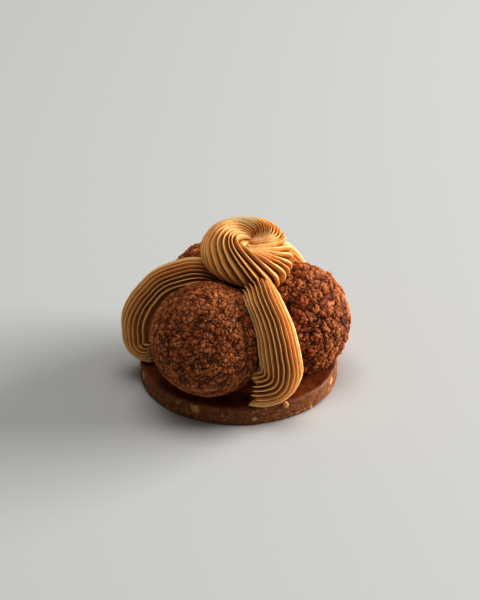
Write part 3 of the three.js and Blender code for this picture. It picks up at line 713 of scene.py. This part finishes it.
def rosetteTree(sizes):
    seamBearing = 100  # degrees, where the grid begins and ends
    slowWaves, fastWaves = 5, 11  # round the ring, in the ridges' widths
    fanEdge, fanFull = 0.5, 0.9  # cosines of the angles off its bearing where the fan begins and is full
    slant = -0.385  # share of the swirl on the flank, clockwise
    eyeTwist, turnMore = 2.0, 0.5  # shares of that slant, added near the eye and at the turn's bearing
    slitSpan, slitEdge, slitWidening = 1.8, 0.4, 0.6  # slits lie where span times cosine is past the edge
    slitBegins, slitEnds = (0.05, 0.35), (0.55, 0.95)  # shares of the radius
    smearBegins, smearEnds = (0.0, 0.2), (0.3, 0.85)  # shares of the radius
    streaksPerRidge, leastSmear, mostSmear = 3.0, 0.6, 2.0
    droopBend, lobeNarrowness = 1.5, 4.0  # powers, which gather both to one side
    ridgeHighlightValue = 0.85  # crest value on a ridge, which gives it half of the painted crest highlight
    drag = (1.6, 0.06)  # mm, length and reach of the nozzle's fine drag
    tree, given = newTree("swirled_rosette", sizes)
    add = partial(addNode, tree)
    grid, around, along = addSweepGrid(add, given)
    section, read = addSectionReader(add, given, along)
    # each ridge rises slowly from its groove and drops steeply to the next one
    phase = add("ShaderNodeMath FRACT", [add("ShaderNodeMath MULTIPLY", [around, given["Ridges"]])])
    groove = add("ShaderNodeFloatCurve", {"Value": phase})
    profile = groove.mapping.curves[0]
    profile.points[0].location, profile.points[1].location = (0.0, 1.0), (1.0, 1.0)
    for share, depth in grooveProfile:
        profile.points.new(share, depth)
    groove.mapping.update()
    # ridges of uneven width
    wave = add("ShaderNodeMath SINE", [add("ShaderNodeMath MULTIPLY", [around, slowWaves * turn])])
    ripple = add("ShaderNodeMath SINE", [add("ShaderNodeMath MULTIPLY", [around, fastWaves * turn])])
    wave = add("ShaderNodeMath MULTIPLY_ADD", [ripple, 0.5, wave])
    strayed = add("ShaderNodeMath MULTIPLY_ADD", [wave, given["Uneven"], around])
    rimAngle = add("ShaderNodeMath MULTIPLY_ADD", [strayed, turn, math.radians(seamBearing)])
    # the ridges of one side fan out, nearly straight, from a shallow spot beside the eye
    fan = addFacing(add, rimAngle, given["Fan bearing"])
    fan = add("ShaderNodeMapRange", [fan, fanEdge, fanFull, 0.0, 1.0], interpolation_type="SMOOTHSTEP")
    # all ridges slant up the flank and turn along the ring into the eye, those at one bearing most of all
    inwards = add("ShaderNodeMapRange", [read("unrolled"), 0.0, ring["rimShare"], 1.0, 0.0], clamp=False)
    turned = add("ShaderNodeMath POWER", [add("ShaderNodeMath MAXIMUM", [inwards, 0.0]), 2.0])
    turned = add("ShaderNodeMath MULTIPLY_ADD", [turned, eyeTwist, inwards])
    turned = add("ShaderNodeMath MULTIPLY", [turned, slant])
    held = add("ShaderNodeMath MULTIPLY_ADD", [fan, given["Fan straightness"], -1.0])
    turned = add("ShaderNodeMath MULTIPLY", [turned, add("ShaderNodeMath ABSOLUTE", [held])])
    most = add("ShaderNodeMath MULTIPLY_ADD", [addFacing(add, rimAngle, given["Turn bearing"]), 0.5, 0.5])
    most = add("ShaderNodeMath POWER", [most, 2.0])
    most = add("ShaderNodeMath MULTIPLY_ADD", [most, turnMore, 1.0])
    turned = add("ShaderNodeMath MULTIPLY", [turned, most])
    fullSwirl = add("ShaderNodeMath RADIANS", [given["Swirl"]])
    angle = add("ShaderNodeMath MULTIPLY_ADD", [turned, fullSwirl, rimAngle])
    # the grooves are deep slits where they plunge into the eye on one side
    share = add("ShaderNodeMath DIVIDE", [section.outputs["X"], given["Radius"]])
    slit = addFacing(add, angle, given["Slit bearing"])
    slit = add("ShaderNodeMath MULTIPLY_ADD", [slit, slitSpan, -slitEdge], use_clamp=True)
    slit = add("ShaderNodeMath MULTIPLY", [slit, add("ShaderNodeMapRange", [share, *slitEnds, 1.0, 0.0])])
    slit = add("ShaderNodeMath MULTIPLY", [slit, add("ShaderNodeMapRange", [share, *slitBegins, 0.0, 1.0])])
    wider = add("ShaderNodeMath MULTIPLY_ADD", [slit, -slitWidening, 1.0])
    groove = add("ShaderNodeMath POWER", [groove, wider])
    deep = add("ShaderNodeMath MULTIPLY", [given["Ridge depth"], read("carve")])
    deep = add("ShaderNodeMath MULTIPLY_ADD", [slit, given["Slit depth"], deep])
    carved = add("ShaderNodeMath MULTIPLY", [groove, deep])
    # fine streaks of smeared cream round the eye, most of all in the fan
    streaks = add("ShaderNodeMath MULTIPLY", [phase, streaksPerRidge])
    streaks = add("ShaderNodeMath PINGPONG", [streaks, 0.5])
    smear = add("ShaderNodeMath MAXIMUM", [fan, leastSmear])
    smearOut = add("ShaderNodeMapRange", [share, *smearEnds, mostSmear, 0.0])
    smear = add("ShaderNodeMath MULTIPLY", [smear, smearOut])
    smearIn = add("ShaderNodeMapRange", [share, *smearBegins, 0.0, 1.0])
    smear = add("ShaderNodeMath MULTIPLY", [smear, smearIn])
    smear = add("ShaderNodeMath MULTIPLY", [smear, given["Streak depth"]])
    carved = add("ShaderNodeMath MULTIPLY_ADD", [streaks, smear, carved])
    inward = add("ShaderNodeMath MULTIPLY", [carved, read("leanOut")])
    out = add("ShaderNodeMath SUBTRACT", [section.outputs["X"], inward])
    out = add("ShaderNodeMath MAXIMUM", [out, 0.0])
    level = add("ShaderNodeMix", [fan, section.outputs["Z"], read("fanRise")], data_type="FLOAT")
    rise = add("ShaderNodeMath SUBTRACT", [level, add("ShaderNodeMath MULTIPLY", [carved, read("leanUp")])])
    x = add("ShaderNodeMath MULTIPLY", [out, add("ShaderNodeMath COSINE", [angle])])
    y = add("ShaderNodeMath MULTIPLY", [out, add("ShaderNodeMath SINE", [angle])])
    # the eye sits off centre, and one side sinks, flattens and spreads onto the bun below
    outShare = add("ShaderNodeMath DIVIDE", [out, given["Radius"]])
    inner = add("ShaderNodeMath MAXIMUM", [add("ShaderNodeMath SUBTRACT", [1.0, outShare]), 0.0])
    lowWay = addWay(add, add("ShaderNodeMath RADIANS", [given["Droop bearing"]]))
    reach = add("ShaderNodeVectorMath DOT_PRODUCT", [add("ShaderNodeCombineXYZ", [x, y, 0.0]), lowWay])
    reach = add("ShaderNodeMath DIVIDE", [reach, given["Radius"]], use_clamp=True)
    sunk = add("ShaderNodeMath POWER", [reach, droopBend])
    flatter = add("ShaderNodeMath MULTIPLY", [given["Flatten"], sunk])
    flatter = add("ShaderNodeMath MULTIPLY", [flatter, add("ShaderNodeMath GREATER_THAN", [rise, 0.0])])
    rise = add("ShaderNodeMath MULTIPLY", [rise, add("ShaderNodeMath SUBTRACT", [1.0, flatter])])
    rise = add("ShaderNodeMath SUBTRACT", [rise, add("ShaderNodeMath MULTIPLY", [given["Droop"], sunk])])
    # the rim reaches out in a lobe on one side
    lobeAt = add("ShaderNodeMath RADIANS", [given["Lobe bearing"]])
    lobe = add("ShaderNodeMath MAXIMUM", [addFacing(add, angle, given["Lobe bearing"]), 0.0])
    lobe = add("ShaderNodeMath POWER", [lobe, lobeNarrowness])
    lobe = add("ShaderNodeMath MULTIPLY", [lobe, add("ShaderNodeMath POWER", [outShare, 2.0])])
    lobe = add("ShaderNodeMath MULTIPLY", [lobe, given["Lobe reach"]])
    pull = add("ShaderNodeMath MULTIPLY", [fan, read("pull")])
    spread = add("ShaderNodeMath MULTIPLY", [given["Spread"], sunk])
    shifts = (
        (given["Eye shift"], inner),
        (given["Fan start"], pull),
        (addWay(add, lobeAt), lobe),
        (lowWay, spread),
    )
    point = add("ShaderNodeCombineXYZ", [x, y, rise])
    for way, amount in shifts:
        point = add("ShaderNodeVectorMath ADD", [point, add("ShaderNodeVectorMath SCALE", [way, amount])])
    lean = add("ShaderNodeVectorMath SCALE", [given["Lean"], math.pi / 180])
    point = add("ShaderNodeVectorRotate", {"Vector": point, "Rotation": lean}, rotation_type="EULER_XYZ")
    point = add("ShaderNodeVectorMath ADD", [point, given["Centre"]])
    point = addPress(add, addDrift(add, addDrift(add, point, *wobble), *drag))
    # painted shade: the grooves take the dark valley colour, and the slits the near-black one
    shut = add("ShaderNodeMath MULTIPLY", [groove, add("ShaderNodeMath ADD", [slit, 1.0])])
    crest = add("ShaderNodeMath SUBTRACT", [ridgeHighlightValue, shut])  # under 0 in the slits
    marked = add("GeometryNodeStoreNamedAttribute", {"Geometry": grid, "Name": "crest", "Value": crest})
    placed = add("GeometryNodeSetPosition", {"Geometry": marked, "Position": point})
    endTree(tree, given, add("GeometryNodeFlipFaces", {"Mesh": placed}))
    return tree


bakePiece("cream_rosette", "rosette", rosetteTree(rosette), rosette, creamFinish, rosetteBase())

# Floor, light and camera

stage = {
    "floorSize": 8.0, "floorColour": "#bebebc", "skyColour": "#f2f1ee", "skyStrength": 0.2,
    "cameraAt": (0.55, -1038.1, 628.2), "pitchDown": 29.71, "lens": 172.26, "sensorWidth": 36,
    "exposure": 0.2, "gamma": 0.84,  # a camera's firm contrast
}
lamps = {  # place and size in metres, power in watts
    "window_right": {"place": (2.0, 0.6, 0.66), "size": (1.8, 1.0), "power": 96},
    "ceiling": {"place": (0.0, 0.0, 1.6), "size": (1.0, 1.0), "power": 12.0},
}
lampsFace = Vector((0, 0, 0.03))  # the middle of the pastry, in metres

world = bpy.data.worlds.new("soft_room")
bpy.context.scene.world = world
world.use_nodes = True
sky = world.node_tree.nodes["Background"]
sky.inputs["Color"].default_value = linear(stage["skyColour"])
sky.inputs["Strength"].default_value = stage["skyStrength"]

for name, lamp in lamps.items():
    light = bpy.data.lights.new(name, "AREA")
    light.shape, light.energy = "RECTANGLE", lamp["power"]
    light.size, light.size_y = lamp["size"]
    holder = bpy.data.objects.new(name, light)
    holder.location = lamp["place"]
    holder.rotation_euler = (lampsFace - holder.location).to_track_quat("-Z", "Y").to_euler()
    bpy.context.scene.collection.objects.link(holder)

half = stage["floorSize"] / 2
corners = [(-half, -half, 0), (half, -half, 0), (half, half, 0), (-half, half, 0)]
floorMesh = bpy.data.meshes.new("floor")
floorMesh.from_pydata(corners, [], [(0, 1, 2, 3)])
floorFinish, add = newFinish("honed_pale_stone")  # dull and even, so that it shows soft shadows only
body = add("ShaderNodeBsdfPrincipled", {"Base Color": linear(stage["floorColour"]), "Roughness": 0.7})
add("ShaderNodeOutputMaterial", [body])
floorMesh.materials.append(floorFinish)
floor = bpy.data.objects.new("floor", floorMesh)
bpy.context.scene.collection.objects.link(floor)

lens = bpy.data.cameras.new("camera")
lens.lens, lens.sensor_width = stage["lens"], stage["sensorWidth"]
camera = bpy.data.objects.new("camera", lens)
camera.location = [v * mm for v in stage["cameraAt"]]
camera.rotation_euler = (math.radians(90 - stage["pitchDown"]), 0, 0)
bpy.context.scene.collection.objects.link(camera)
bpy.context.scene.camera = camera
view = bpy.context.scene.view_settings
view.view_transform, view.exposure, view.gamma = "Standard", stage["exposure"], stage["gamma"]
print("stage set")
